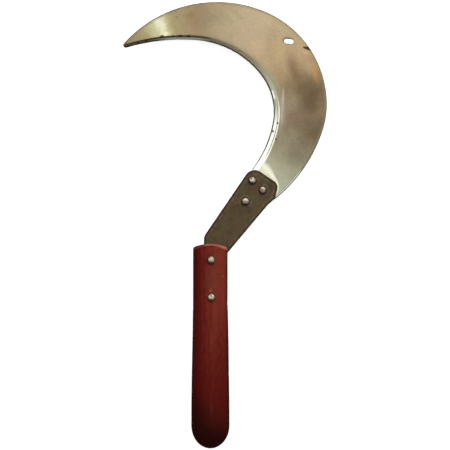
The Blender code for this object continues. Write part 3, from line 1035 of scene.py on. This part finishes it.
def rounded_point(x, y, side, rise, inside):
    """Where a point of the blank goes: how far in from the outline, and how far from the
    plate's middle."""
    level = SHANK_HALF - SHANK_ROUNDING
    if inside >= SHANK_ROUNDING:
        # The flat, dented a little by the hammer
        dents = ripple((x, y, side), 0.009, 2) * 0.00006
        dents += ripple((x, y, side), 0.0028, 6) * 0.00002
        return inside, SHANK_HALF + (dents - SHANK_INSET) * ease((inside - SHANK_ROUNDING) / 0.002)
    if rise <= level:
        return 0.0, rise
    # The rounding between the flat and the edge
    out = Vector((SHANK_ROUNDING - inside, rise - level)).normalized() * SHANK_ROUNDING
    return SHANK_ROUNDING - out.x, level + out.y


def make_shank(material):
    outlines = [shank_outline()]
    outlines += [circle_points(spot, BORE_RADIUS) for spot in BLADE_RIVETS + HANDLE_RIVETS]
    shank = piece_from("shank_plate", shank_blank(outlines))
    remesh = shank.modifiers.new("even_mesh", "REMESH")
    remesh.mode = "VOXEL"
    remesh.voxel_size = SHANK_VOXEL
    bake_modifiers(shank)
    find = outline_finder(outlines)
    middle = (shank_high.z + shank_low.z) / 2
    insides = []
    for vertex in shank.data.vertices:
        x, y, z = vertex.co
        point, normal, inside = find(x, y)
        side = 1 if z > 0 else -1
        inside, rise = rounded_point(x, y, side, abs(z), inside)
        spot = point + normal * inside if inside < SHANK_ROUNDING else Vector((x, y))
        vertex.co = place(*spot, middle + side * rise)
        insides.append(inside)
    write_attribute(shank.data, "from_outline", insides)
    shank.data.materials.append(material)
    finish_piece(shank, "shank", 60)


# ---- handle

def grip_radius(height):
    share = ease((SWELL_START - height) / (SWELL_START - SWELL_END))
    return TOP_RADIUS + (BUTT_RADIUS - TOP_RADIUS) * share


def handle_profile():
    """(radius, height) from near the middle of the crowned top down to the butt."""
    slope = radians(CROWN_SLOPE)
    crown = (TOP_RADIUS - LIP_RADIUS * (1 - sin(slope))) / sin(slope)
    shoulder = HANDLE_LENGTH - crown * (1 - cos(slope)) - LIP_RADIUS * cos(slope)
    profile = [(crown * sin(angle), HANDLE_LENGTH - crown * (1 - cos(angle)))
               for angle in even(0, slope, CROWN_STEPS)[1:]]
    profile += [(TOP_RADIUS - LIP_RADIUS * (1 - sin(angle)), shoulder + LIP_RADIUS * cos(angle))
                for angle in even(slope, pi / 2, LIP_STEPS)]
    profile += [(grip_radius(height), height) for height in even(shoulder, BUTT_DEPTH, GRIP_STEPS)]
    return profile + [(BUTT_RADIUS * cos(angle), BUTT_DEPTH * (1 - sin(angle)))
                      for angle in even(0, pi / 2, BUTT_STEPS)]


def turned_point(radius, height, angle):
    """A point of the turned wood, which is very slightly out of round and dented by use."""
    around = Vector((cos(angle), sin(angle)))
    spot = Vector((*(around * GRAIN_RADIUS), height))
    long_spot = Vector((spot.x, spot.y, height * 0.12))
    unevenness = ripple(spot, 0.030, 4) * 0.00012 + ripple(long_spot, 0.0032, 9) * 0.00003
    dent = max(0, ripple(spot, 0.0075, 14) - 0.38) * 0.0009
    radius = radius + (unevenness - dent - TURNED_INSET) * min(1, radius / 0.004)
    return place(radius * around.x, height, AXIS.z + radius * around.y)


def kerf_cutter(material):
    half_gap = SHANK_HALF + KERF_GAP
    reach = 2 * BUTT_RADIUS
    corners = ((-reach, -half_gap), (reach, -half_gap), (reach, half_gap), (-reach, half_gap))
    rings = [[place(x, height, AXIS.z + z) for x, z in corners]
             for height in (KERF_BOTTOM, HANDLE_LENGTH + reach)]
    return piece_from("kerf_cutter", skin_rings(rings), material)


def seat_cutter(name, spot, radius, height, side, material):
    """A shallow flat seat with a flared mouth, sunk from one side of the grip."""
    levels = ((0, 0), (0.0005, 0), (0.0012, 0.0004), (0.02, 0.0004))
    rings = stacked((circle_points(spot, radius + grow), AXIS.z + side * (height + out))
                    for out, grow in levels)
    return piece_from(name, skin_rings(rings), material)


def make_handle(wood, sawn):
    rings = [[turned_point(radius, height, turn) for turn in even(0, tau, HANDLE_SIDES)]
             for radius, height in handle_profile()]
    handle = piece_from("wooden_handle", skin_rings(rings), wood)
    cut_away(handle, kerf_cutter(sawn))
    for number, spot in enumerate(HANDLE_RIVETS):
        for name, radius, height, side in SEATS:
            cut_away(handle, seat_cutter(f"{name}_seat_{number}", spot, radius, height, side, sawn))
    write_attribute(handle.data, "across_grip",
                    [(vertex.co.x - AXIS.x) / grip_radius(vertex.co.y - AXIS.y)
                     for vertex in handle.data.vertices])
    finish_piece(handle, "handle", 38)


# ---- rivets and washers

def rivet_rings(spot, base, size, side, seed):
    """Rings of a hammered head that stands on base, from its skirt to near its middle."""
    radius, height = size
    rings = []
    for angle in even(0, pi / 2, HEAD_STEPS):
        # A flattened dome: the skirt is steep and the top nearly flat
        reach, lift = radius * cos(angle) ** 0.85, height * sin(angle) ** 0.9
        ring = []
        for x, y in circle_points((0, 0), 1, RIVET_SIDES):
            hammered = ripple((x * reach, y * reach, 0), 0.0016, seed) * 0.00016 * sin(angle)
            outline = reach * (1 + 0.035 * ripple((x, y, 0), 0.9, seed + 3))
            ring.append(place(spot[0] + x * outline, spot[1] + y * outline,
                              base + side * (lift + hammered)))
        rings.append(ring)
    return rings


def make_rivet(node, spot, front, back, seed, material):
    """Both heads and the shank between them, as one skin of rings."""
    head = rivet_rings(spot, front, HEAD, 1, seed)
    peen = rivet_rings(spot, back, PEEN, -1, seed + 7)
    around = circle_points(spot, RIVET_SHANK_RADIUS, RIVET_SIDES)
    shank = stacked(((around, front), (around, back)))
    rivet = piece_from(f"{node}_hammered", skin_rings(head[::-1] + shank + peen), material)
    # How much painted shade each point of a head gets
    skirt = []
    for vertex in rivet.data.vertices:
        out = (vertex.co - place(*spot, 0)).to_2d() / HEAD[0]
        skirt.append(max(0.0, SKIRT_GROWTH * out.length_squared + SKIRT_LEAN.dot(out)))
    write_attribute(rivet.data, "skirt", skirt)
    finish_piece(rivet, node, 50)


def make_rivets(material):
    for number, spot in enumerate(BLADE_RIVETS, 1):
        make_rivet(f"blade_rivet_{number}", spot, shank_high.z - HEAD_SUNK,
                   blade_low.z + HEAD_SUNK, 3 * number, material)
    for number, spot in enumerate(HANDLE_RIVETS, 1):
        low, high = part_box(f"handle_rivet_{number}")
        make_rivet(f"handle_rivet_{number}", spot, high.z - HEAD_DROP,
                   low.z + PEEN_DROP, 20 + 3 * number, material)


def make_washers(material):
    for number, spot in enumerate(HANDLE_RIVETS, 1):
        low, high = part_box(f"handle_washer_{number}")
        radius = (high.x - low.x) / 2
        inner, rim = radius - WASHER_RIM, WASHER_RIM
        levels = ((WASHER_BORE, low.z), (inner, low.z), (radius, low.z + rim),
                  (radius, high.z - rim), (inner, high.z), (WASHER_BORE, high.z))
        rings = stacked((circle_points(spot, reach, WASHER_SIDES), height) for reach, height in levels)
        washer = piece_from(f"handle_washer_{number}_burr", skin_rings(rings, looped=True), material)
        finish_piece(washer, f"handle_washer_{number}", 30)


# ---- stage, light and camera

FLOOR_REACH = 4
FLOOR_DROP = 0.0001
SEEN_WIDTH = 0.3301


def make_floor():
    mesh = bpy.data.meshes.new("floor")
    shape = bmesh.new()
    bmesh.ops.create_grid(shape, x_segments=2, y_segments=2, size=FLOOR_REACH)
    shape.to_mesh(mesh)
    shape.free()
    floor = add_object("floor", mesh)
    floor.location = (0, 0, cad_low.z - FLOOR_DROP)
    start_material("pale_floor")
    inputs = started["tree"].nodes["Principled BSDF"].inputs
    for name, value in (("Base Color", (0.9, 0.9, 0.895, 1)), ("Roughness", 0.9),
                        ("Specular IOR Level", 0.1), ("Emission Color", (1, 1, 1, 1)),
                        ("Emission Strength", 0.65)):
        inputs[name].default_value = value
    mesh.materials.append(started["material"])
    # The floor catches light and shadow but throws none back, so the sickle's sides stay dark
    floor.visible_diffuse = False
    floor.visible_glossy = False


def toward(azimuth, elevation):
    """A direction. Azimuth 0 is +X and 90 is +Y."""
    around, up = radians(azimuth), radians(elevation)
    return Vector((cos(around) * cos(up), sin(around) * cos(up), sin(up)))


def glow_mask(direction, azimuth, elevation, core, rim):
    """1 within core degrees of a direction, fading to 0 at rim degrees."""
    facing = vector_step("DOT_PRODUCT", {0: direction, 1: toward(azimuth, elevation)}, "Value")
    return spread(facing, cos(radians(rim)), cos(radians(core)))


def make_world():
    """A soft sky: pale overhead, dim near the ground, with one bright and one dark side."""
    world = bpy.data.worlds.new("soft_studio")
    start_nodes(world)
    direction = add_node("TexCoord", {}).outputs["Generated"]
    height = coordinates(direction)["Z"]
    glow = times(spread(height, 0.05, 0.8, 0.4, 0.8), spread(height, -0.12, 0.06, 0.35, 1))
    glow = add(glow, times(glow_mask(direction, 160, 50, 12, 40), 0.35))
    dark = glow_mask(direction, -90, 48, 10, 42)
    glow = times(glow, spread(dark, 0, 1, 1, 0.4))
    seen = add_node("LightPath", {}).outputs["Is Camera Ray"]
    colour = layers(scaled((1, 1, 1), glow), (seen, (255, 255, 255)))
    feed(world.node_tree.nodes["Background"], {"Color": colour, "Strength": 1})
    bpy.context.scene.world = world


def make_light(name, azimuth, elevation, distance, size, energy):
    """A square soft light that faces the sickle."""
    data = bpy.data.lights.new(name, "AREA")
    data.shape = "SQUARE"
    data.size = size
    data.energy = energy
    light = add_object(name, data)
    out = toward(azimuth, elevation)
    light.location = out * distance
    light.rotation_mode = "QUATERNION"
    light.rotation_quaternion = out.to_track_quat("Z", "Y")


def make_camera():
    """Straight above the sickle, its long way upright in the picture."""
    data = bpy.data.cameras.new("camera")
    data.sensor_width = 36
    data.lens = 200
    data.clip_start = 0.01
    camera = add_object("camera", data)
    camera.location = (0, 0, blade_high.z + SEEN_WIDTH * data.lens / data.sensor_width)
    bpy.context.scene.camera = camera


# ---- the whole picture

make_floor()
make_world()
make_light("key", 62, 45, 1.3, 1.4, 8.5)
make_camera()
bpy.context.scene.view_settings.view_transform = "Standard"

# The walls cut for the hole and the nick are coloured dark
make_blade(blade_material(), ground_material(),
           dull_metal("oxidised_edge", 700, 0.8, (104, 96, 76), (146, 136, 112)),
           dull_metal("dark_cut_walls", 700, 0.8, (52, 46, 34), (92, 82, 62)))
make_shank(shank_material())
make_handle(wood_material(), sawn_wood_material())
make_rivets(rivet_material())
make_washers(dull_metal("dull_washer", 600, 0.9, (168, 160, 150), (128, 112, 96)))
